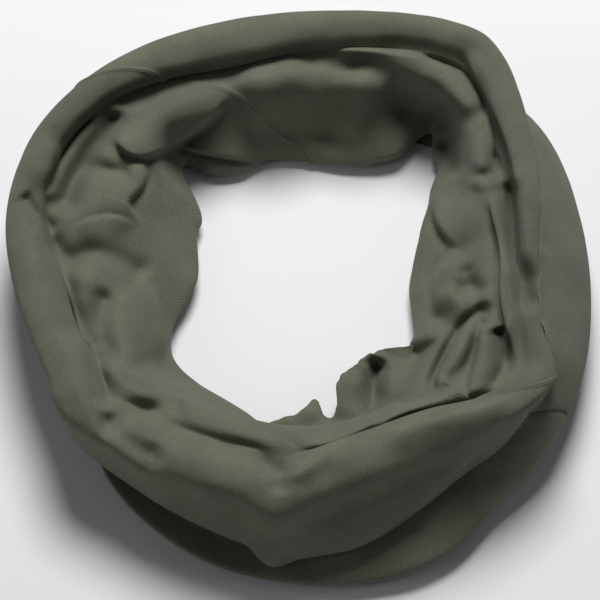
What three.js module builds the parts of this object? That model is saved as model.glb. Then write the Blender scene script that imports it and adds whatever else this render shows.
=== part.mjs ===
// Neck gaiter: a tube of fine jersey, sewn from two panels with two side seams, pushed together
// lengthwise so that it lies on a table as one soft, rolled ring around the neck opening.
// Millimetres, +Z up, the origin on the table under the middle of the ring.
// Each panel is a plain solid of the space its folded cloth takes up; each seam is the narrow
// thread ribbon that joins the two panels all the way round the fold.

import * as THREE from 'three';

// Driving dimensions. Each list goes round the ring, counter-clockwise from +X, one value per 30 degrees.
const OUTER_RADIUS = [112, 116, 122, 113, 115, 119, 109, 102, 108, 115, 117, 114];
const RIDGE_RADIUS = [88, 98, 110, 102, 104, 106, 96, 88, 90, 92, 92, 90];
const RIDGE_HEIGHT = [50, 50, 50, 52, 50, 47, 45, 45, 48, 51, 53, 52];
const OPENING_RADIUS = [46, 58, 80, 74, 74, 54, 46, 51, 51, 53, 47, 46];

const BAND_HEIGHT = 27; // top of the turned-back outer band
const BAND_STEP = 3; // how far the main roll sits inside the band
const BASE_ROUND = 8; // radius of the fold between the base and the band
const LIP_HEIGHT = 9; // the inner fold at the opening

const FAR_SEAM = { outer: 138, inner: 86 }; // degrees, at the outer band and at the opening
const NEAR_SEAM = { outer: -26, inner: -76 };
const SEAM_WIDTH = 4;
const SEAM_THICKNESS = 1.2;
const SEAM_PROUD = 0.4;
const SEAM_FLOOR_CLEARANCE = 0.6;
const GAP = 0.3;

const PANEL_STEPS = 34;
const SLANT_ROUNDS = 6; // enough for a slanted point's azimuth to settle
const OLIVE = 0x5d6150;
const OLIVE_THREAD = 0x545847;

const degrees = Math.PI / 180;
const mix = THREE.MathUtils.lerp;

// Smooth closed curve through values that are evenly spaced round the ring.
function aroundRing(values, azimuth) {
  const count = values.length;
  const place = THREE.MathUtils.euclideanModulo(azimuth / (2 * Math.PI), 1) * count;
  const first = Math.floor(place);
  const t = place - first;
  const [before, from, to, after] = [-1, 0, 1, 2].map((k) => values[(first + k + count) % count]);
  const leave = (to - before) / 2;
  const arrive = (after - from) / 2;
  const bend = 3 * (to - from) - 2 * leave - arrive;
  const twist = 2 * (from - to) + leave + arrive;
  return from + t * (leave + t * (bend + t * twist));
}

// Closed outline of the folded cloth at one azimuth: x is the distance from the ring's axis, y the height.
function foldOutline(azimuth) {
  const outer = aroundRing(OUTER_RADIUS, azimuth);
  const ridge = aroundRing(RIDGE_RADIUS, azimuth);
  const height = aroundRing(RIDGE_HEIGHT, azimuth);
  const opening = aroundRing(OPENING_RADIUS, azimuth);
  const points = [];
  const add = (x, y) => points.push(new THREE.Vector2(x, y));

  // The flat base, from the opening outwards.
  add(opening + 3, 0);
  for (const share of [0.25, 0.5, 0.75]) {
    add(mix(opening, outer, share), 0);
  }
  // The outer band: a rounded bottom fold, a bulge and a rounded top.
  for (const turn of [0, 45, 90]) {
    add(outer - BASE_ROUND * (1 - Math.sin(turn * degrees)), BASE_ROUND * (1 - Math.cos(turn * degrees)));
  }
  add(outer - 0.5, 0.7 * BAND_HEIGHT);
  add(outer - BAND_STEP, BAND_HEIGHT);
  // The main roll's outer wall and ridge, an ellipse that starts inside the band.
  const wallX = outer - 2 * BAND_STEP - ridge;
  const wallY = height - BAND_HEIGHT;
  for (const turn of [10, 40, 65, 90]) {
    add(ridge + wallX * Math.cos(turn * degrees), BAND_HEIGHT + wallY * Math.sin(turn * degrees));
  }
  // The inner wall: over the roll, then a hollow slope down to the lip at the opening.
  add(mix(opening, ridge, 0.84), 0.92 * height);
  add(mix(opening, ridge, 0.64), 0.7 * height);
  add(mix(opening, ridge, 0.38), 0.48 * height);
  add(mix(opening, ridge, 0.12), 0.3 * height);
  add(opening, LIP_HEIGHT);
  add(opening, 0.4 * LIP_HEIGHT);
  return points;
}

// A seam crosses the ring on the slant: its azimuth at a given share of the way in from the outside.
function seamAzimuth(seam, inward) {
  return mix(seam.outer, seam.inner, inward) * degrees;
}

// Where a point of the outline lies between the outer band (0) and the opening (1).
function inwardShare(point, azimuth) {
  const outer = aroundRing(OUTER_RADIUS, azimuth);
  const opening = aroundRing(OPENING_RADIUS, azimuth);
  return (outer - point.x) / (outer - opening);
}

// Moves an outline outwards along its own normals, and keeps it a given height off the table.
function offsetOutline(points, distance, lowest) {
  const count = points.length;
  return points.map((point, i) => {
    const along = points[(i + 1) % count].clone().sub(points[(i + count - 1) % count]).normalize();
    const moved = new THREE.Vector2(point.x + along.y * distance, point.y - along.x * distance);
    moved.y = Math.max(moved.y, lowest);
    return moved;
  });
}

// The outline as it lies along a slanting line across the ring, as points in space.
// azimuthAt gives the line's azimuth for an inward share; shift moves it sideways, in millimetres;
// distance and lowest offset the outline within its own section.
function slantedOutline(azimuthAt, shift, distance = 0, lowest = 0) {
  const middle = azimuthAt(0.5);
  return foldOutline(middle).map((start, i) => {
    let azimuth = middle;
    let point = start;
    for (let round = 0; round < SLANT_ROUNDS; round++) {
      point = offsetOutline(foldOutline(azimuth), distance, lowest)[i];
      azimuth = azimuthAt(inwardShare(point, azimuth));
    }
    const turned = azimuth + shift / point.x;
    return new THREE.Vector3(point.x * Math.cos(turned), point.x * Math.sin(turned), point.y);
  });
}

// Joins a row of equal closed outlines with bands of triangles. With no caps, the last joins the first.
function loft(outlines, startCap = [], endCap = []) {
  const positions = outlines.flat().flatMap((p) => [p.x, p.y, p.z]);
  const count = outlines[0].length;
  const end = (outlines.length - 1) * count;
  const last = endCap.length > 0 ? outlines.length - 1 : outlines.length;
  const index = [];
  for (let row = 0; row < last; row++) {
    const here = row * count;
    const next = ((row + 1) % outlines.length) * count;
    for (let i = 0; i < count; i++) {
      const j = (i + 1) % count;
      index.push(here + i, next + j, here + j);
      index.push(here + i, next + i, next + j);
    }
  }
  for (const [a, b, c] of startCap) {
    index.push(a, b, c);
  }
  for (const [a, b, c] of endCap) {
    index.push(end + a, end + c, end + b);
  }
  const geometry = new THREE.BufferGeometry();
  geometry.setAttribute('position', new THREE.Float32BufferAttribute(positions, 3));
  geometry.setIndex(index);
  geometry.computeVertexNormals();
  return geometry;
}

// The triangles that close a panel at a seam, the same ones for both of the panels that meet there.
function seamCap(seam) {
  return THREE.ShapeUtils.triangulateShape(foldOutline(seamAzimuth(seam, 0.5)), []);
}

// One cloth panel: the fold outline carried from one seam to the next, with a slightly smaller
// outline at each end, so that the end faces run square under the seam's ribbon.
function panelGeometry(fromSeam, toSeam) {
  const side = SEAM_WIDTH / 2 + GAP;
  const inset = -2 * SEAM_THICKNESS;
  const outlines = [slantedOutline((inward) => seamAzimuth(fromSeam, inward), side, inset)];
  for (let step = 0; step <= PANEL_STEPS; step++) {
    const t = step / PANEL_STEPS;
    const azimuthAt = (inward) => mix(seamAzimuth(fromSeam, inward), seamAzimuth(toSeam, inward), t);
    outlines.push(slantedOutline(azimuthAt, mix(side, -side, t)));
  }
  outlines.push(slantedOutline((inward) => seamAzimuth(toSeam, inward), -side, inset));
  return loft(outlines, seamCap(fromSeam), seamCap(toSeam));
}

// A seam: a flat ribbon of thread round the whole fold, between the two panels' edges.
function seamGeometry(seam) {
  const azimuthAt = (inward) => seamAzimuth(seam, inward);
  const half = SEAM_WIDTH / 2;
  const depth = SEAM_PROUD - SEAM_THICKNESS;
  const bottom = SEAM_FLOOR_CLEARANCE;
  return loft([
    slantedOutline(azimuthAt, -half, SEAM_PROUD, bottom),
    slantedOutline(azimuthAt, half, SEAM_PROUD, bottom),
    slantedOutline(azimuthAt, half, depth, bottom + SEAM_THICKNESS),
    slantedOutline(azimuthAt, -half, depth, bottom + SEAM_THICKNESS),
  ]);
}

function piece(name, geometry, color) {
  const material = new THREE.MeshStandardMaterial({ color, roughness: 0.92, metalness: 0 });
  const mesh = new THREE.Mesh(geometry, material);
  mesh.name = name;
  return mesh;
}

const nearSeamAgain = { outer: NEAR_SEAM.outer + 360, inner: NEAR_SEAM.inner + 360 };

const gaiter = new THREE.Group();
gaiter.add(piece('right_panel', panelGeometry(NEAR_SEAM, FAR_SEAM), OLIVE));
gaiter.add(piece('left_panel', panelGeometry(FAR_SEAM, nearSeamAgain), OLIVE));
gaiter.add(piece('far_side_seam', seamGeometry(FAR_SEAM), OLIVE_THREAD));
gaiter.add(piece('near_side_seam', seamGeometry(NEAR_SEAM), OLIVE_THREAD));

// The origin is under the middle of the ring's box.
const box = new THREE.Box3().setFromObject(gaiter);
gaiter.position.set(-(box.min.x + box.max.x) / 2, -(box.min.y + box.max.y) / 2, 0);

export default gaiter;
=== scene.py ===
import math

import bpy
import numpy as np
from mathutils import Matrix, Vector


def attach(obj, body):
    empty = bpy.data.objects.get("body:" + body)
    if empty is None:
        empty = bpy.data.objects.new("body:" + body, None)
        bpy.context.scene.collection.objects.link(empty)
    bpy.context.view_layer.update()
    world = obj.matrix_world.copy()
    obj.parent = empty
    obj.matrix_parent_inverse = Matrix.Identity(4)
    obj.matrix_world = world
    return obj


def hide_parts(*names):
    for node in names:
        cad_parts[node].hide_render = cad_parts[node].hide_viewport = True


# A neck gaiter: a tube of fine jersey, pushed together lengthwise and lying as a rolled ring.
# The cloth is one long sheet section, carried round the ring. It starts at the raw hem of the
# outer band, runs down the band, in under the ring and back out, then up the main roll's outer
# wall, over the ridge and down the inner wall to the second raw hem at the opening.
# Lengths are millimetres here, and metres in the meshes. Azimuths are degrees, counter-clockwise
# from +X, and distances are from the ring's axis.

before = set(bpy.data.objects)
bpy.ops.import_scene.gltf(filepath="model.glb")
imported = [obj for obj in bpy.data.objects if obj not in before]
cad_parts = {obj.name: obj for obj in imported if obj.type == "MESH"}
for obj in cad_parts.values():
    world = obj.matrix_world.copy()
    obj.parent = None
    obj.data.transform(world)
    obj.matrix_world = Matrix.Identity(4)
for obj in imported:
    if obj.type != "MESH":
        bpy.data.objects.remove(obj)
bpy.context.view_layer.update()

MM = 0.001
PANEL_WIDTH = 352  # of each of the two panels, flat
CLOTH_THICKNESS = 0.65
COLUMNS = 400  # mesh columns across one panel
FLOOR_CLEARANCE = 0.5  # half a thickness, and a little
BAND_GRAIN_TURN = 64  # the ribs on the right-hand band run nearly along the ring

FAR_SEAM = (138, 86)  # azimuth at the outer band and at the opening
NEAR_SEAM = (-26, -76)

# Feature curves of the folded cloth: rows of azimuth, distance and height.
BAND_HEM = [
    (-146, 92, 8), (-120, 98, 8), (-90, 101, 11), (-64, 95, 20), (-44, 95, 29), (-33, 103, 37),
    (-22, 98, 47), (-12, 91, 48), (0, 89.5, 48), (15, 93, 48), (27, 100, 48), (36, 106.5, 47),
    (43, 112, 40), (55, 108, 28), (70, 104, 21), (90, 103, 18), (130, 102, 14), (160, 104, 12),
    (190, 92, 10),
]
BAND_WIDE = [
    (-160, 94, 8), (-146, 96, 8), (-135, 102, 8), (-120, 108, 8), (-107, 112.5, 8), (-96, 114, 7),
    (-87, 115.5, 7), (-76, 118, 8), (-60, 117.5, 10), (-49, 112, 12), (-36, 113, 14), (-20, 112.5, 15),
    (0, 112, 16), (18, 114, 22), (36, 117, 28), (46, 114.5, 23), (57, 110.5, 16), (70, 107, 11),
    (110, 106, 8), (150, 106, 8), (180, 96, 7),
]
BELLY = [
    (-160, 99, 20), (-147, 101, 12), (-127, 100, 13), (-105, 103.5, 14), (-101, 104.5, 13),
    (-96, 109.5, 9), (-90, 107.5, 11.5), (-79, 107.5, 18), (-64, 102, 26), (-51, 99.5, 31), (-39, 103, 35),
    (-30, 104, 41), (-20, 94, 38),
    (0, 87, 36), (25, 96, 36), (40, 108, 36), (52, 121, 34), (65, 121, 34), (90, 114, 34),
    (120, 116, 34), (145, 119, 32), (162, 118, 28), (180, 108, 24),
]
RIDGE = [
    (-156, 97, 46), (-142, 101, 48), (-135, 96, 49), (-124, 94, 49), (-112, 92, 50), (-102, 92, 51),
    (-95, 96.5, 49), (-89, 92, 52), (-70, 86, 53), (-54, 87, 52), (-36, 99, 50), (-28, 103, 49),
    (-18, 93, 49), (-4, 88, 50), (10, 89, 50), (23, 95, 50), (33, 101, 50), (42, 109, 50),
    (49, 117, 49), (55, 121.5, 49), (61, 119, 51), (76, 110.5, 52), (90, 106.5, 52), (105, 105.5, 51),
    (122, 109.5, 50), (136, 113, 49), (147, 114.5, 47), (157, 112.5, 46), (168, 108, 45), (180, 101, 45),
    (191, 98, 45),
]
ROLL_RADIUS = [
    (-150, 9, 0), (-120, 10, 0), (-90, 11, 0), (-60, 10, 0), (-35, 7, 0), (-15, 4, 0), (0, 3.5, 0),
    (20, 5, 0), (40, 7, 0), (55, 6.5, 0), (76, 7, 0), (90, 8.5, 0), (105, 10, 0), (122, 8, 0),
    (136, 6, 0), (155, 6, 0), (168, 7.5, 0), (180, 10, 0), (200, 10, 0),
]
TUCK = [
    (-150, 84, 41), (-120, 80, 46), (-90, 80, 48), (-60, 75, 46), (-35, 86, 42), (-15, 84, 42),
    (0, 81, 42), (20, 85, 40), (40, 96, 36), (52, 108, 38), (58, 109, 40), (66, 105, 42), (76, 102, 42),
    (90, 100, 40), (105, 101, 36), (122, 105, 36), (136, 109, 36), (150, 108, 35), (163, 103, 34),
    (174, 94, 34), (185, 88, 34), (200, 86, 35),
]
WALL_HIGH = [
    (-150, 76, 36), (-120, 72, 43), (-90, 72, 45), (-60, 68, 40), (-35, 74, 38), (-15, 74, 40),
    (0, 73, 40), (20, 77, 39), (40, 90, 38), (52, 101, 37), (58, 104, 37), (64, 99, 38.5), (76, 92, 39.5),
    (90, 90, 39.5), (105, 90, 38), (122, 91, 37), (136, 91, 38), (155, 88, 36), (168, 80, 34),
    (180, 76, 33), (200, 75, 33),
]
WALL_LOW = [
    (-150, 62, 20), (-120, 60, 26), (-90, 62, 31), (-72, 60, 26), (-58, 58, 22), (-35, 58, 24),
    (-15, 58, 24), (0, 56, 23), (20, 62, 22), (35, 74, 20), (48, 90, 18), (58, 102, 16), (62, 97, 18),
    (76, 83, 17), (90, 80, 16), (105, 80, 16), (118, 84, 17), (125, 88, 18), (136, 72, 20),
    (150, 62, 20), (168, 58, 20), (190, 60, 19),
]
LIP = [
    (-172, 50, 8), (-160, 53, 8), (-140, 51, 9), (-122, 50, 10), (-95, 54, 10), (-75, 53, 12),
    (-55, 48, 12), (-35, 47, 9), (-15, 46, 7), (0, 44, 6), (21, 47, 6), (35, 57, 6), (41, 64.5, 6),
    (44.5, 71.5, 6), (48, 78, 6), (50.5, 86.5, 6), (53.3, 88.5, 6), (56, 95, 6), (58, 99, 6), (60, 95, 6),
    (62, 84, 5), (65, 79, 4), (76, 72.7, 4), (90, 72.8, 4), (101, 74, 4), (109, 71, 4), (118, 75, 4),
    (124.3, 84, 4), (129, 64, 6), (138, 55, 6), (155, 44.5, 6), (170, 44, 7),
]
INNER_HEM = [
    (-172, 56, 3), (-140, 57, 3), (-112, 52, 5), (-101, 48, 10), (-93, 45.5, 11), (-86, 42, 12.5),
    (-81, 41, 13), (-79.3, 42.5, 12.5), (-78.3, 45.5, 11.5), (-72, 44.5, 12), (-68.5, 37, 13.5),
    (-64, 34.5, 14), (-52, 34, 15), (-41, 35, 14), (-31, 37, 14), (-23, 44, 12), (-14, 52, 3),
    (18, 54, 3), (44, 80, 2.5), (58, 103, 2.5), (70, 84, 2.5), (90, 80, 2.5), (115, 80, 2.5),
    (124, 88, 2.5), (135, 70, 2.5), (152, 54, 3),
]

# How many mesh rows each stretch between two section points gets: few where it is hidden.
STRETCH_ROWS = [
    8, 8, 5, 3, 3, 3, 3, 4, 4, 4, 4, 4, 4, 4, 4, 4, 4, 4, 6, 12, 12, 8, 8, 8, 8, 14, 34, 26, 14,
]
PLEATS = 10  # hidden folds inside the roll, where the pushed-together length of the tube goes
PLEAT_FOOT = 4
PLEAT_TOP = 21
PLEAT_CLEARANCE = 8  # from the inner wall
PLEAT_LIP_CLEARANCE = 10
PLEAT_BELLY_CLEARANCE = 13
PLEAT_SPREAD = 6  # the least distance from the first pleat to the last
RIPPLES = 52  # round the ring
RIPPLE_DEPTH = 3.0
BAND_BOW = 0.12  # how far the band bows out between its hem and its widest line
BAND_TURN_IN = (3, 14)  # how far inside the widest line the band curls down and meets the floor
LIP_TURN_OUT = (9, 6.5)  # how far outside the lip the base leaves the floor and turns up
LIP_TURN_RISE = 2.2
ROLL_SIDE = 0.72  # the two points beside the ridge, in roll radii
ROLL_DROP = 0.30
MIN_STEP = 0.3  # keeps the spline steady where two section points nearly meet
SECTION_TABLE_STEPS = 1440  # round the ring
TABLE_AZIMUTHS = np.arange(SECTION_TABLE_STEPS) * 360 / SECTION_TABLE_STEPS
BASE_ROW = sum(STRETCH_ROWS[:7])  # the first row after the flat base
WALL_ROW = sum(STRETCH_ROWS[:18])  # first row of the main roll's outer wall
TUCK_ROW = sum(STRETCH_ROWS[:25])  # the row deepest under the main roll


def tangents(values, step):
    """The slope at each point of a line, from the stretches before and after it."""
    slope = np.diff(values, axis=0) / step
    inner = (slope[:-1] * step[1:] + slope[1:] * step[:-1]) / (step[1:] + step[:-1])
    return np.concatenate([slope[:1], inner, slope[-1:]])


def hermite(t, start, end, leave, arrive):
    """A cubic from start to end, with the given slopes there."""
    return (
        (1 + 2 * t) * (1 - t) ** 2 * start
        + t * (1 - t) ** 2 * leave
        + t * t * (3 - 2 * t) * end
        - t * t * (1 - t) * arrive
    )


def around(curve, azimuth):
    """Distance and height of a feature curve at the given azimuths, by a smooth closed spline."""
    rows = np.array(sorted(((a % 360, d, h) for a, d, h in curve)))
    angle = np.concatenate([rows[-2:, 0] - 360, rows[:, 0], rows[:3, 0] + 360])
    value = np.concatenate([rows[-2:, 1:], rows[:, 1:], rows[:3, 1:]])
    step = np.diff(angle)[:, None]
    tangent = tangents(value, step)
    azimuth = np.mod(azimuth, 360)
    i = np.clip(np.searchsorted(angle, azimuth, side="right") - 1, 0, len(angle) - 2)
    t = (azimuth - angle[i])[..., None] / step[i]
    found = hermite(t, value[i], value[i + 1], step[i] * tangent[i], step[i] * tangent[i + 1])
    return found[..., 0], found[..., 1]


def section_points(azimuth):
    """The sheet's section at each azimuth, from the outer hem to the inner one: (points, azimuths, 2)."""
    hem_d, hem_z = around(BAND_HEM, azimuth)
    wide_d, wide_z = around(BAND_WIDE, azimuth)
    belly_d, belly_z = around(BELLY, azimuth)
    ridge_d, ridge_z = around(RIDGE, azimuth)
    roll, _ = around(ROLL_RADIUS, azimuth)
    tuck_d, tuck_z = around(TUCK, azimuth)
    high_d, high_z = around(WALL_HIGH, azimuth)
    low_d, low_z = around(WALL_LOW, azimuth)
    lip_d, lip_z = around(LIP, azimuth)
    inner_d, inner_z = around(INNER_HEM, azimuth)
    middle = 0.5 * (lip_d + wide_d)
    floor = FLOOR_CLEARANCE + 0 * hem_d
    rows = [
        (hem_d, hem_z),
        (0.5 * (hem_d + wide_d) + BAND_BOW * np.abs(hem_z - wide_z), 0.55 * hem_z + 0.45 * wide_z),
        (wide_d, wide_z),
        (wide_d - BAND_TURN_IN[0], 0.3 * wide_z),
        (wide_d - BAND_TURN_IN[1], floor),
        (middle, floor),
        (lip_d + LIP_TURN_OUT[0], floor),
        (lip_d + LIP_TURN_OUT[1], LIP_TURN_RISE + floor),
    ]
    first = np.maximum(low_d + PLEAT_CLEARANCE, lip_d + PLEAT_LIP_CLEARANCE)
    last = np.maximum(belly_d - PLEAT_BELLY_CLEARANCE, first + PLEAT_SPREAD)
    for k in range(PLEATS):
        share = (k + 0.5) / PLEATS
        place = first * (1 - share) + last * share
        rows.append((place, (PLEAT_TOP if k % 2 else PLEAT_FOOT) + 0 * hem_d))
    rows += [
        (belly_d - 3.5, 0.45 * belly_z + 2),
        (belly_d, belly_z),
        (0.42 * belly_d + 0.58 * (ridge_d + roll), 0.42 * belly_z + 0.58 * (ridge_z - 0.5 * roll)),
        (ridge_d + ROLL_SIDE * roll, ridge_z - ROLL_DROP * roll),
        (ridge_d, ridge_z),
        (ridge_d - ROLL_SIDE * roll, ridge_z - ROLL_DROP * roll),
        (
            0.35 * tuck_d + 0.65 * (ridge_d - roll),
            np.maximum(0.35 * tuck_z + 0.65 * (ridge_z - roll), tuck_z - 1),
        ),
        (tuck_d, tuck_z),
        (high_d, high_z),
        (low_d, low_z),
        (lip_d, lip_z),
        (inner_d, inner_z),
    ]
    return np.stack([np.stack(row, axis=-1) for row in rows])


def spline_rows(points):
    """A smooth line through the section points, with STRETCH_ROWS samples in each stretch."""
    step = np.maximum(np.linalg.norm(np.diff(points, axis=0), axis=-1), MIN_STEP)[..., None]
    tangent = tangents(points, step)
    rows = []
    for i, count in enumerate(STRETCH_ROWS):
        leave, arrive = step[i] * tangent[i], step[i] * tangent[i + 1]
        for k in range(count):
            rows.append(hermite(k / count, points[i], points[i + 1], leave, arrive))
    rows.append(points[-1])
    return np.stack(rows)


SECTIONS = spline_rows(section_points(TABLE_AZIMUTHS))


def section_rows_at(azimuth):
    """Each row's distance and height at its own azimuths, read from the section table."""
    place = np.mod(azimuth, 360) / 360 * SECTION_TABLE_STEPS
    first = np.floor(place).astype(int) % SECTION_TABLE_STEPS
    after = (first + 1) % SECTION_TABLE_STEPS
    t = (place - np.floor(place))[..., None]
    row = np.arange(azimuth.shape[0])[:, None]
    return SECTIONS[row, first] * (1 - t) + SECTIONS[row, after] * t


def seam_azimuth(seam, inward):
    return seam[0] + (seam[1] - seam[0]) * inward


def panel_surface(from_seam, to_seam):
    """Base positions of one panel's grid (rows, columns, 3), before the small folds are added."""
    t = np.linspace(0, 1, COLUMNS + 1)[None, :]
    outer = around(BAND_WIDE, TABLE_AZIMUTHS)[0].mean()
    opening = around(LIP, TABLE_AZIMUTHS)[0].mean()
    inward = np.clip((outer - SECTIONS[..., 0].mean(axis=1)) / (outer - opening), 0, 1)[:, None]
    azimuth = seam_azimuth(from_seam, inward) * (1 - t) + seam_azimuth(to_seam, inward) * t
    section = section_rows_at(azimuth)
    angle = np.radians(azimuth)
    return np.stack(
        [section[..., 0] * np.cos(angle), section[..., 0] * np.sin(angle), section[..., 1]], axis=-1
    )


# Folds of the cloth: (rows, rise, soft, sharp, overhang, [(right, up), ...]). The points lie on a
# board that leans back BOARD_LEAN degrees from upright, and so faces the photo's point of view.
# They were picked on the photo and turned into millimetres by a scratch script, and then thinned
# out by hand, so most of them are that script's numbers. This is an open fault.
# Seen along a line, its left side falls away softly and its right side sharply, over these widths.
# A negative rise is a valley. The overhang is how far the crest leans over the sharp side. The
# rows say which stretch of cloth is folded: the main roll, the inner wall or both.
BOARD_LEAN = 60
BOARD_RIGHT = np.array([1, 0, 0])
BOARD_UP = np.array([0, math.sin(math.radians(BOARD_LEAN)), math.cos(math.radians(BOARD_LEAN))])
BOARD_OUT = np.cross(BOARD_RIGHT, BOARD_UP)
FOLDS = [
    # left side: the nick in the roll, the long crease beside it, and the pleats of the inner wall
    ("roll", 4.5, 9, 1.8, 1, [(-101, 50), (-96, 66), (-100, 76)]),
    ("both", -4, 2.6, 2.6, 0, [(-107, 51), (-102, 43), (-94, 35)]),
    ("wall", 7, 4, 4, 0, [(-70, 88), (-88, 67), (-100, 47)]),
    ("wall", -11, 4.5, 4.5, 0, [(-70, 85), (-84, 66), (-93, 42)]),
    ("wall", -9, 3.8, 3.8, 0, [(-84, 85), (-94, 68), (-100, 50)]),
    ("wall", 7, 10, 2.2, 1.8, [(-74, 76), (-62, 68), (-44, 78), (-27, 92)]),
    ("wall", 5, 9, 1.5, 1, [(-62, 37), (-68, 47), (-62, 56), (-63, 68)]),
    ("wall", -5, 4, 4, 0, [(-86, 63), (-74, 59), (-64, 60)]),
    ("wall", 2.5, 8, 1.2, 0.5, [(-63, 37), (-75, 40), (-88, 36)]),
    ("wall", -5, 5, 5, 0, [(-92, 22), (-80, 27), (-66, 22), (-58, 17)]),
    ("wall", 5, 12, 1.4, 1.2, [(-53, -18), (-54, 0), (-59, 18)]),
    ("wall", 5, 6, 6, 0, [(-82, 24), (-83, 5), (-78, -13)]),
    ("wall", -6, 5, 5, 0, [(-73, 15), (-76, 0), (-72, -18)]),
    ("wall", 5.5, 7, 7, 0, [(-67, 16), (-66, 0), (-61, -17)]),
    ("both", 6, 8, 1.6, 1.2, [(-73, -32), (-78, -18), (-85, 0)]),
    ("both", -7, 4.5, 4.5, 0, [(-98, 38), (-90, 16), (-80, -10), (-71, -32)]),
    ("both", -7, 4.5, 4.5, 0, [(-77, -37), (-63, -33), (-41, -29)]),
    # far side: the soft swellings of the inner wall and the crease under the roll
    ("wall", 6, 9, 9, 0, [(-27, 90), (-10, 93), (7, 100)]),
    ("wall", -4, 6, 6, 0, [(17, 107), (16, 88), (8, 67)]),
    ("wall", 6, 8, 8, 0, [(20, 103), (20, 86), (16, 70)]),
    ("wall", -5, 8, 8, 0, [(33, 96), (49, 79)]),
    ("wall", 8, 7, 5, 0, [(13, 107), (28, 109), (44, 101), (73, 82)]),
    ("wall", 9, 5, 5, 0, [(72, 85), (75, 76), (67, 57)]),
    ("wall", 4, 3, 3, 0, [(65, 57), (72, 54), (84, 59)]),
    ("wall", -7, 4.5, 4.5, 0, [(82, 75), (77, 59)]),
    ("wall", -8, 5, 5, 0, [(57, 77), (65, 57)]),
    ("wall", 3.5, 12, 1.2, 0.8, [(-53, 73), (-33, 68), (-13, 65)]),
    ("wall", 3, 12, 1.2, 0.8, [(20, 64), (38, 68), (49, 73)]),
    ("wall", -8, 3.2, 3.2, 0, [(45, 108), (64, 101), (76, 86), (82, 69)]),
    # right side: the long pleats beside the band and the gathers that fan out below them
    ("both", 6, 7, 1.6, 1, [(65, 107), (78, 79), (84, 55), (86, 16)]),
    ("wall", 4, 6, 6, 0, [(67, 48), (81, 47)]),
    ("wall", -5, 4, 4, 0, [(58, 12), (71, 15)]),
    ("both", -9, 2.8, 2.8, 0, [(82, 57), (84, 30), (87, 3)]),
    ("wall", 7, 6, 1.8, 2.6, [(74, 52), (79, 30), (79, 9), (83, -14), (80, -29)]),
    ("wall", 8, 10, 1.8, 2, [(53, 52), (56, 40), (63, 28)]),
    ("wall", 7, 9, 1.8, 1.5, [(63, 29), (55, 18), (53, 1)]),
    ("wall", -4, 4, 4, 0, [(62, 24), (70, 9)]),
    ("wall", -8, 3.2, 3.2, 0, [(73, 9), (58, -7), (49, -27)]),
    ("wall", -6, 3, 3, 0, [(71, 3), (66, -12), (56, -24)]),
    ("wall", -8, 3, 3, 0, [(75, 0), (78, -14), (73, -26)]),
    ("wall", 7, 7, 7, 0, [(55, 2), (45, -15), (36, -31)]),
    ("wall", 7, 6.5, 1.8, 2.2, [(69, 4), (58, -14), (50, -28)]),
    ("wall", 6, 5, 1.8, 1.8, [(73, 3), (69, -13), (64, -30)]),
    ("wall", 4, 7, 1.6, 0.8, [(67, -24), (46, -31), (28, -39)]),
    ("both", 3, 7, 1.6, 0.6, [(80, -27), (56, -34), (30, -41)]),
    # near side: the folds behind the front roll and the soft dents across it
    ("wall", 3.5, 5, 5, 0, [(20, -17), (19, -38)]),
    ("both", -9, 3.6, 3.6, 0, [(30, -12), (28, -24), (29, -37)]),
    ("wall", 3, 4, 4, 0, [(37, -12), (34, -30)]),
    ("wall", 2.5, 4, 4, 0, [(5, -30), (-4, -44)]),
    ("both", 2.5, 10, 1.6, 1, [(0, -47), (-20, -37), (-36, -27), (-52, -23)]),
    ("both", -3, 5, 5, 0, [(-56, -37), (-34, -45), (-9, -53)]),
    ("roll", -3, 4, 4, 0, [(-74, -35), (-50, -53)]),
    ("roll", -2.6, 3, 3, 0, [(-8, -55), (-7, -63)]),
    ("both", 3, 5, 4, 0, [(-6, -57), (13, -42)]),
    ("roll", 3, 3.4, 3.4, 0, [(-84, -40), (-62, -54), (-44, -66)]),
    ("roll", -2.2, 5, 5, 0, [(0, -72), (28, -62), (60, -50)]),
    ("roll", -2, 3.5, 3.5, 0, [(-53, -42), (-55, -51)]),
]
FOLD_ROWS = {
    "roll": [(WALL_ROW, 0), (WALL_ROW + 6, 1), (TUCK_ROW - 2, 1), (TUCK_ROW + 5, 0)],
    "wall": [(TUCK_ROW - 7, 0), (TUCK_ROW, 1)],
    "both": [(WALL_ROW, 0), (WALL_ROW + 6, 1)],
}
PATH_STEP = 2.0
END_TAPER = 0.13  # share of a fold's length over which each end fades out, at the least
END_SOFTNESS = 1.3  # the same length, as a share of the fold's width
CREST_LIMIT = 9.0  # crossing folds together move the cloth no further than this
VALLEY_LIMIT = 15.0
LONGEST_TAPER = 0.45  # so that the middle of a short fold keeps its height
FURROW_DEPTH = 0.3  # of the furrow beside a sharp crest, as a share of the fold's rise
FURROW_WIDTH = 1.2  # as a share of the sharp side's width


def smooth_path(points):
    """Points about PATH_STEP apart along a smooth curve through the given ones."""
    points = np.asarray(points, dtype=float)
    padded = np.concatenate([[2 * points[0] - points[1]], points, [2 * points[-1] - points[-2]]])
    path = []
    for before, a, b, after in zip(padded, padded[1:], padded[2:], padded[3:]):
        count = max(1, round(float(np.linalg.norm(b - a)) / PATH_STEP))
        for t in np.arange(count) / count:
            square = (2 * before - 5 * a + 4 * b - after) * t ** 2
            cube = (3 * a - before - 3 * b + after) * t ** 3
            path.append(0.5 * (2 * a + (b - before) * t + square + cube))
    path.append(points[-1])
    return np.array(path)


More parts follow.
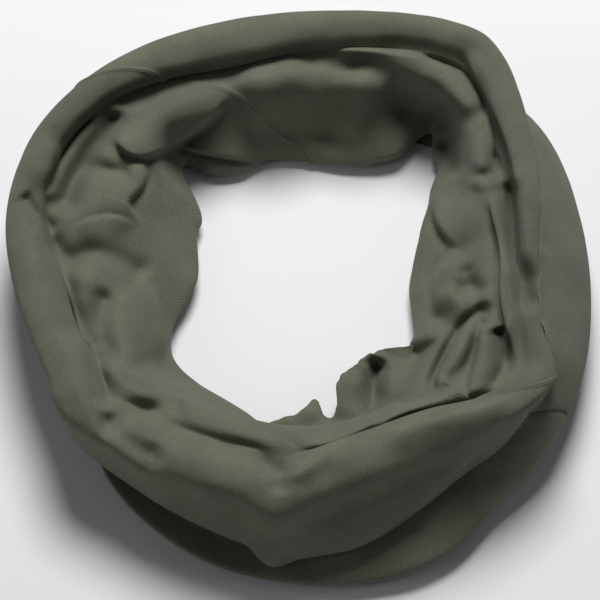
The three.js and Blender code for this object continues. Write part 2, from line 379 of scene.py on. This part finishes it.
def fold_move(places, path, rise, soft, sharp, overhang):
    """How far one fold moves each place on the board: (right, up, out)."""
    start, along = path[:-1], np.diff(path, axis=0)
    length = np.linalg.norm(along, axis=1)
    run = np.concatenate([[0], np.cumsum(length)])
    offset = places[:, None, :] - start[None]
    t = np.clip((offset * along).sum(-1) / length ** 2, 0, 1)
    away = np.linalg.norm(offset - t[..., None] * along, axis=-1)
    nearest = away.argmin(axis=1)
    pick = np.arange(len(places))
    distance = away[pick, nearest]
    heading = along[nearest] / length[nearest, None]
    side = heading[:, 0] * offset[pick, nearest, 1] - heading[:, 1] * offset[pick, nearest, 0]
    share = (run[nearest] + t[pick, nearest] * length[nearest]) / run[-1]
    taper = min(max(END_TAPER, END_SOFTNESS * max(soft, sharp) / run[-1]), LONGEST_TAPER)
    fade = np.clip(np.minimum(share, 1 - share) / taper, 0, 1)
    fade = fade * fade * (3 - 2 * fade)
    crest = np.exp(-((distance / np.where(side > 0, soft, sharp)) ** 2))
    lean = fade * overhang * crest
    if soft != sharp:
        past = (distance - 2 * sharp) / (FURROW_WIDTH * sharp)
        crest -= FURROW_DEPTH * np.exp(-(past ** 2)) * (side <= 0)
    return np.stack([lean * heading[:, 1], -lean * heading[:, 0], fade * rise * crest], axis=1)


def add_folds(base):
    """Moves a grid of base points by every fold that crosses its rows."""
    points = base.reshape(-1, 3)
    places = np.stack([points @ BOARD_RIGHT, points @ BOARD_UP], axis=1)
    row = np.arange(base.shape[0])
    weights = {
        name: np.repeat(np.interp(row, *zip(*ramp)), base.shape[1])
        for name, ramp in FOLD_ROWS.items()
    }
    move = np.zeros((len(points), 3))
    for rows, rise, soft, sharp, overhang, line in FOLDS:
        path = smooth_path(line)
        reach = 2.4 * max(soft, sharp) + 2
        inside = (places > path.min(axis=0) - reach) & (places < path.max(axis=0) + reach)
        near = np.flatnonzero(inside.all(axis=1) & (weights[rows] > 0))
        weight = weights[rows][near, None]
        move[near] += weight * fold_move(places[near], path, rise, soft, sharp, overhang)
    limit = np.where(move[:, 2] > 0, CREST_LIMIT, VALLEY_LIMIT)
    move[:, 2] = limit * np.tanh(move[:, 2] / limit)
    board = np.stack([BOARD_RIGHT, BOARD_UP, BOARD_OUT])
    return (points + move @ board).reshape(base.shape)


def add_mesh(name, points, faces):
    mesh = bpy.data.meshes.new(name)
    mesh.from_pydata(points, [], faces)
    obj = bpy.data.objects.new(name, mesh)
    bpy.context.scene.collection.objects.link(obj)
    return obj


def grid_mesh(name, points, uv):
    """A mesh from a grid of points, with a UV map in metres of flat cloth."""
    rows, columns = points.shape[:2]
    corner = (np.arange(rows - 1)[:, None] * columns + np.arange(columns - 1)[None, :]).ravel()
    faces = np.stack([corner, corner + columns, corner + columns + 1, corner + 1], axis=-1)
    obj = add_mesh(name, (points.reshape(-1, 3) * MM).tolist(), faces.tolist())
    layer = obj.data.uv_layers.new(name="Flat")
    flat = uv.reshape(-1, 2)[faces.ravel()].astype(np.float32)
    layer.data.foreach_set("uv", flat.ravel())
    obj.data.shade_smooth()
    return obj


def gather(base):
    """The hidden pleats ripple round the ring, because the cloth is longer than the ring is round."""
    row = np.arange(base.shape[0])
    amount = np.interp(row, [BASE_ROW, BASE_ROW + 3, WALL_ROW - 5, WALL_ROW - 2], [0, 1, 1, 0])
    angle = np.arctan2(base[..., 1], base[..., 0])
    ripple = RIPPLE_DEPTH * np.sin(angle * RIPPLES)
    outwards = np.stack([np.cos(angle), np.sin(angle), 0 * angle], axis=-1)
    return base + amount[:, None, None] * ripple[..., None] * outwards


def flat_places(base, start, band_turn):
    """Where each grid point lies on the flat cloth, at true scale: across the ribs and along them."""
    across, along = distances_along(base, 1), distances_along(base, 0)
    across = across - across[:, base.shape[1] // 2, None]
    turn = np.radians(np.where(np.arange(base.shape[0]) < BASE_ROW, band_turn, 0))[:, None]
    flat = np.stack([
        start + PANEL_WIDTH / 2 + across * np.cos(turn) - along * np.sin(turn),
        across * np.sin(turn) + along * np.cos(turn),
    ], axis=-1)
    return flat * MM


WRINKLE_WAVES = 40
WRINKLE_DEPTH = 0.45
WRINKLE_LENGTHS = (7, 38)
WRINKLE_SEED = 7
WRINKLE_OUTWARDS = BOARD_OUT * 0.7 + np.array([0, 0, 0.3])


def add_wrinkles(points):
    """Faint wrinkles all over: the sum of many shallow waves in seeded random directions."""
    random = np.random.default_rng(WRINKLE_SEED)
    row = np.arange(points.shape[0])
    ramp = [0, 6, BASE_ROW - 12, BASE_ROW - 6, WALL_ROW, WALL_ROW + 6]
    amount = np.interp(row, ramp, [0.6, 1, 1, 0, 0, 1])
    total = np.zeros(points.shape[:2])
    for _ in range(WRINKLE_WAVES):
        direction = random.normal(size=3)
        direction /= np.linalg.norm(direction)
        length = random.uniform(*WRINKLE_LENGTHS)
        phase = random.uniform(0, 2 * math.pi)
        wave = np.sin(points @ direction * 2 * math.pi / length + phase)
        total += length / WRINKLE_LENGTHS[1] * wave
    total *= WRINKLE_DEPTH / total.std()
    return points + (amount[:, None] * total)[..., None] * WRINKLE_OUTWARDS


def surface_normals(points):
    """The direction out of the cloth's face at each point of a panel's grid."""
    normal = np.cross(np.gradient(points, axis=0), np.gradient(points, axis=1))
    return normal / np.maximum(np.linalg.norm(normal, axis=-1, keepdims=True), 1e-9)


def distances_along(points, axis):
    """How far each grid point is from the first one of its row or column, along the cloth."""
    step = np.linalg.norm(np.diff(points, axis=axis), axis=-1)
    return np.insert(np.cumsum(step, axis=axis), 0, 0, axis=axis)


HEM_CURL = 1.3
HEM_CURL_WIDTH = 2.2
HEM_WAVES = (31, 53)  # round the ring
HEM_UNEVENNESS = 0.3
SEAM_DEPTH = 0.6
SEAM_PINCH = 1.4  # how far from the seam the cloth dips


def finish_edges(points):
    """The raw hems curl up a little, unevenly, and the cloth dips towards its two seams."""
    along, across = distances_along(points, 0), distances_along(points, 1)
    from_hem = np.minimum(along, along[-1] - along)
    from_seam = np.minimum(across, across[:, -1:] - across)
    angle = np.arctan2(points[..., 1], points[..., 0])
    uneven = 1 + HEM_UNEVENNESS * (np.sin(angle * HEM_WAVES[0]) + np.sin(angle * HEM_WAVES[1]))
    lift = HEM_CURL * uneven * np.exp(-((from_hem / HEM_CURL_WIDTH) ** 2))
    lift -= SEAM_DEPTH * np.exp(-((from_seam / SEAM_PINCH) ** 2))
    return points + lift[..., None] * surface_normals(points)


def panel_points(base):
    points = finish_edges(add_wrinkles(add_folds(gather(base))))
    points[..., 2] = np.maximum(points[..., 2], FLOOR_CLEARANCE)
    return points


STITCH_LENGTH = 1.7  # of one full zigzag
STITCH_REACH = 0.5  # how far the zigzag goes to each side of the seam
STITCH_STEPS = 8
THREAD_RADIUS = 0.14
THREAD_SIDES = 6


def beside_seam(points, last):
    """A line along a panel's last or first column, STITCH_REACH inside the panel and on its face."""
    near = points[:, :-7:-1] if last else points[:, :6]
    away = distances_along(near, 1)
    normal = surface_normals(points)[:, -1 if last else 0]
    line = [
        [np.interp(STITCH_REACH, reach, row[:, k]) for k in range(3)] for reach, row in zip(away, near)
    ]
    return np.array(line) + normal * (CLOTH_THICKNESS / 2 + THREAD_RADIUS / 2), normal


def make_thread(name, before, after):
    """The thread of one seam: a fine tube that zigzags over the line where two panels meet."""
    first, _ = beside_seam(before, True)
    second, normal = beside_seam(after, False)
    run = distances_along(second, 0)
    stops = np.arange(0, run[-1], STITCH_LENGTH / STITCH_STEPS)
    first, second, normal = (
        np.stack([np.interp(stops, run, line[:, k]) for k in range(3)], axis=1)
        for line in (first, second, normal)
    )
    swing = 0.5 + 0.5 * np.sin(stops * 2 * math.pi / STITCH_LENGTH)[:, None]
    path = first * (1 - swing) + second * swing
    path[:, 2] = np.maximum(path[:, 2], 2 * THREAD_RADIUS)
    along = np.gradient(path, axis=0)
    side = np.cross(along, normal)
    side /= np.linalg.norm(side, axis=1, keepdims=True)
    up = np.cross(side, along)
    up /= np.linalg.norm(up, axis=1, keepdims=True)
    turn = np.arange(THREAD_SIDES) * 2 * math.pi / THREAD_SIDES
    ring = np.cos(turn)[None, :, None] * side[:, None] + np.sin(turn)[None, :, None] * up[:, None]
    verts = (path[:, None] + THREAD_RADIUS * ring).reshape(-1, 3)
    faces = [tuple(reversed(range(THREAD_SIDES)))]
    for i in range(len(path) - 1):
        here, there = i * THREAD_SIDES, (i + 1) * THREAD_SIDES
        for k in range(THREAD_SIDES):
            after_k = (k + 1) % THREAD_SIDES
            faces.append((here + k, here + after_k, there + after_k, there + k))
    faces.append(tuple(range(len(verts) - THREAD_SIDES, len(verts))))
    obj = add_mesh(name, (verts * MM).tolist(), faces)
    obj.data.shade_smooth()
    return obj


def thicken(obj):
    solid = obj.modifiers.new("Thickness", "SOLIDIFY")
    solid.thickness = CLOTH_THICKNESS * MM
    solid.offset = 0


def node_maker(material):
    nodes, links = material.node_tree.nodes, material.node_tree.links

    def make(kind, inputs=None, **settings):
        node = nodes.new(kind)
        for key, value in settings.items():
            setattr(node, key, value)
        for key, value in (inputs or {}).items():
            if isinstance(value, bpy.types.NodeSocket):
                links.new(value, node.inputs[key])
            else:
                node.inputs[key].default_value = value
        return node

    return make


RIB_PITCH = 0.00080  # metres of flat cloth
COURSE_PITCH = 0.00105
COURSE_SHARE = 0.22  # how strongly the courses show beside the ribs
KNIT_CONTRAST = 0.27
MOTTLE = 0.24
JERSEY_DARK = (0.092, 0.096, 0.069, 1)
JERSEY_LIGHT = (0.178, 0.186, 0.137, 1)
THREAD_DARK = (0.080, 0.088, 0.060, 1)
THREAD_LIGHT = (0.170, 0.184, 0.128, 1)


def jersey_material(name):
    """Matte single jersey: fine ribs and courses on the flat cloth, mottled and a little fuzzy."""
    material = bpy.data.materials.new(name)
    material.use_nodes = True
    material.node_tree.nodes.clear()
    make = node_maker(material)
    uv = make("ShaderNodeUVMap", uv_map="Flat")
    split = make("ShaderNodeSeparateXYZ", {0: uv.outputs[0]})
    turns = (2 * math.pi / RIB_PITCH, 2 * math.pi / COURSE_PITCH)
    rib = make("ShaderNodeMath", {0: split.outputs[0], 1: turns[0]}, operation="MULTIPLY")
    rib_wave = make("ShaderNodeMath", {0: rib.outputs[0]}, operation="SINE")
    course = make("ShaderNodeMath", {0: split.outputs[1], 1: turns[1]}, operation="MULTIPLY")
    course_wave = make("ShaderNodeMath", {0: course.outputs[0]}, operation="SINE")
    knit = make(
        "ShaderNodeMath",
        {0: course_wave.outputs[0], 1: COURSE_SHARE, 2: rib_wave.outputs[0]},
        operation="MULTIPLY_ADD",
    )
    where = make("ShaderNodeTexCoord").outputs["Object"]
    fuzz = make("ShaderNodeTexNoise", {"Vector": where, "Scale": 1500.0, "Detail": 3.0})
    cloud = make("ShaderNodeTexNoise", {"Vector": where, "Scale": 60.0, "Detail": 4.0})
    middle = {"From Min": 0.3, "From Max": 0.7}  # where most of a noise texture's values lie
    mottle = make("ShaderNodeMapRange", {
        "Value": fuzz.outputs["Fac"], **middle, "To Min": -MOTTLE, "To Max": MOTTLE,
    })
    shade = make(
        "ShaderNodeMath",
        {0: knit.outputs[0], 1: KNIT_CONTRAST, 2: mottle.outputs[0]},
        operation="MULTIPLY_ADD",
    )
    patches = make("ShaderNodeMapRange", {
        "Value": cloud.outputs["Fac"], **middle, "To Min": 0.36, "To Max": 0.64,
    })
    tone = make("ShaderNodeMath", {0: shade.outputs[0], 1: patches.outputs[0]}, operation="ADD")
    colour = make("ShaderNodeMix", {"Factor": tone.outputs[0]}, data_type="RGBA")
    colour.inputs["A"].default_value = JERSEY_DARK
    colour.inputs["B"].default_value = JERSEY_LIGHT
    height = make(
        "ShaderNodeMath",
        {0: knit.outputs[0], 1: 0.5, 2: fuzz.outputs["Fac"]},
        operation="MULTIPLY_ADD",
    )
    bump = make("ShaderNodeBump", {"Strength": 0.6, "Distance": 0.0002, "Height": height.outputs[0]})
    shader = make("ShaderNodeBsdfPrincipled", {
        "Base Color": colour.outputs["Result"],
        "Roughness": 0.95,
        "Specular IOR Level": 0.15,
        "Sheen Weight": 0.08,
        "Sheen Roughness": 0.5,
        "Normal": bump.outputs[0],
    })
    make("ShaderNodeOutputMaterial", {"Surface": shader.outputs[0]})
    return material


def thread_material(name):
    """Twisted sewing thread: fine slanting strands, a little darker than the jersey."""
    material = bpy.data.materials.new(name)
    material.use_nodes = True
    material.node_tree.nodes.clear()
    make = node_maker(material)
    where = make("ShaderNodeTexCoord").outputs["Object"]
    strands = make("ShaderNodeTexWave", {"Vector": where, "Scale": 900.0, "Distortion": 2.0})
    fuzz = make("ShaderNodeTexNoise", {"Vector": where, "Scale": 2500.0, "Detail": 2.0})
    mix = {0: strands.outputs["Fac"], 1: fuzz.outputs["Fac"]}
    tone = make("ShaderNodeMath", mix, operation="MULTIPLY")
    colour = make("ShaderNodeMix", {"Factor": tone.outputs[0]}, data_type="RGBA")
    colour.inputs["A"].default_value = THREAD_DARK
    colour.inputs["B"].default_value = THREAD_LIGHT
    bump = make("ShaderNodeBump", {"Strength": 0.5, "Distance": 0.00005, "Height": tone.outputs[0]})
    shader = make("ShaderNodeBsdfPrincipled", {
        "Base Color": colour.outputs["Result"],
        "Roughness": 0.8,
        "Specular IOR Level": 0.2,
        "Sheen Weight": 0.08,
        "Normal": bump.outputs[0],
    })
    make("ShaderNodeOutputMaterial", {"Surface": shader.outputs[0]})
    return material


def plain_material(name, colour, roughness):
    material = bpy.data.materials.new(name)
    material.use_nodes = True
    shader = material.node_tree.nodes["Principled BSDF"]
    shader.inputs["Base Color"].default_value = (*colour, 1)
    shader.inputs["Roughness"].default_value = roughness
    return material


FLOOR_HALF = 3.0  # metres
FLOOR_GREY = (0.85, 0.85, 0.85)


def add_floor():
    half = FLOOR_HALF
    corners = [(-half, -half, 0), (half, -half, 0), (half, half, 0), (-half, half, 0)]
    floor = add_mesh("floor", corners, [(0, 1, 2, 3)])
    floor.data.materials.append(plain_material("pale_floor", FLOOR_GREY, 0.9))


# A broad light from behind and above gives the soft roll its shape, with two weak ones in front:
# (name, place in metres, size in metres, power in watts). They aim at the middle of the ring.
LIGHTS = [
    ("back", (0.05, 0.6, 1.12), 0.6, 16.4),
    ("right", (1.1, -0.15, 1.0), 0.7, 1.0),
    ("left", (-1.1, -0.5, 0.9), 0.7, 1.8),
]
SKY_COLOUR = (1.0, 0.82, 1.03, 1)
SKY_STRENGTH = 0.06


def aim(obj, place, target):
    obj.location = place
    obj.rotation_euler = (Vector(target) - Vector(place)).to_track_quat("-Z", "Y").to_euler()


def add_area_light(name, place, size, power):
    light = bpy.data.lights.new(name, "AREA")
    light.shape = "DISK"
    light.size = size
    light.energy = power
    obj = bpy.data.objects.new(name, light)
    bpy.context.scene.collection.objects.link(obj)
    aim(obj, place, (0, 0, 0))


def add_lights():
    world = bpy.data.worlds.new("studio")
    bpy.context.scene.world = world
    world.use_nodes = True
    background = world.node_tree.nodes["Background"]
    background.inputs["Color"].default_value = SKY_COLOUR
    background.inputs["Strength"].default_value = SKY_STRENGTH
    for light in LIGHTS:
        add_area_light(*light)


CAMERA_ELEVATION = 60
CAMERA_DISTANCE = 1.6  # metres
CAMERA_LENS = 250
SENSOR_WIDTH = 36
AIM_HEIGHT = 23
AIM_Y = -2.5


def add_camera():
    camera = bpy.data.cameras.new("camera")
    camera.lens = CAMERA_LENS
    camera.sensor_width = SENSOR_WIDTH
    obj = bpy.data.objects.new("camera", camera)
    bpy.context.scene.collection.objects.link(obj)
    rise = math.radians(CAMERA_ELEVATION)
    target = Vector((0, AIM_Y * MM, AIM_HEIGHT * MM))
    aim(obj, target + Vector((0, -math.cos(rise), math.sin(rise))) * CAMERA_DISTANCE, target)
    bpy.context.scene.camera = obj


def finish_piece(obj, material, node):
    obj.data.materials.append(material)
    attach(obj, "root")
    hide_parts(node)


add_camera()
add_lights()
add_floor()

near_again = (NEAR_SEAM[0] + 360, NEAR_SEAM[1] + 360)
right_base = panel_surface(NEAR_SEAM, FAR_SEAM)
left_base = panel_surface(FAR_SEAM, near_again)
right_points = panel_points(right_base)
left_points = panel_points(left_base)
right = grid_mesh("right_jersey_panel", right_points, flat_places(right_base, 0, BAND_GRAIN_TURN))
left = grid_mesh("left_jersey_panel", left_points, flat_places(left_base, PANEL_WIDTH, 0))
far_thread = make_thread("far_side_seam_thread", right_points, left_points)
near_thread = make_thread("near_side_seam_thread", left_points, right_points)
thicken(right)
thicken(left)

jersey = jersey_material("olive_jersey")
thread = thread_material("olive_seam_thread")
finish_piece(right, jersey, "right_panel")
finish_piece(left, jersey, "left_panel")
finish_piece(far_thread, thread, "far_side_seam")
finish_piece(near_thread, thread, "near_side_seam")

bpy.context.scene.view_settings.view_transform = "Standard"
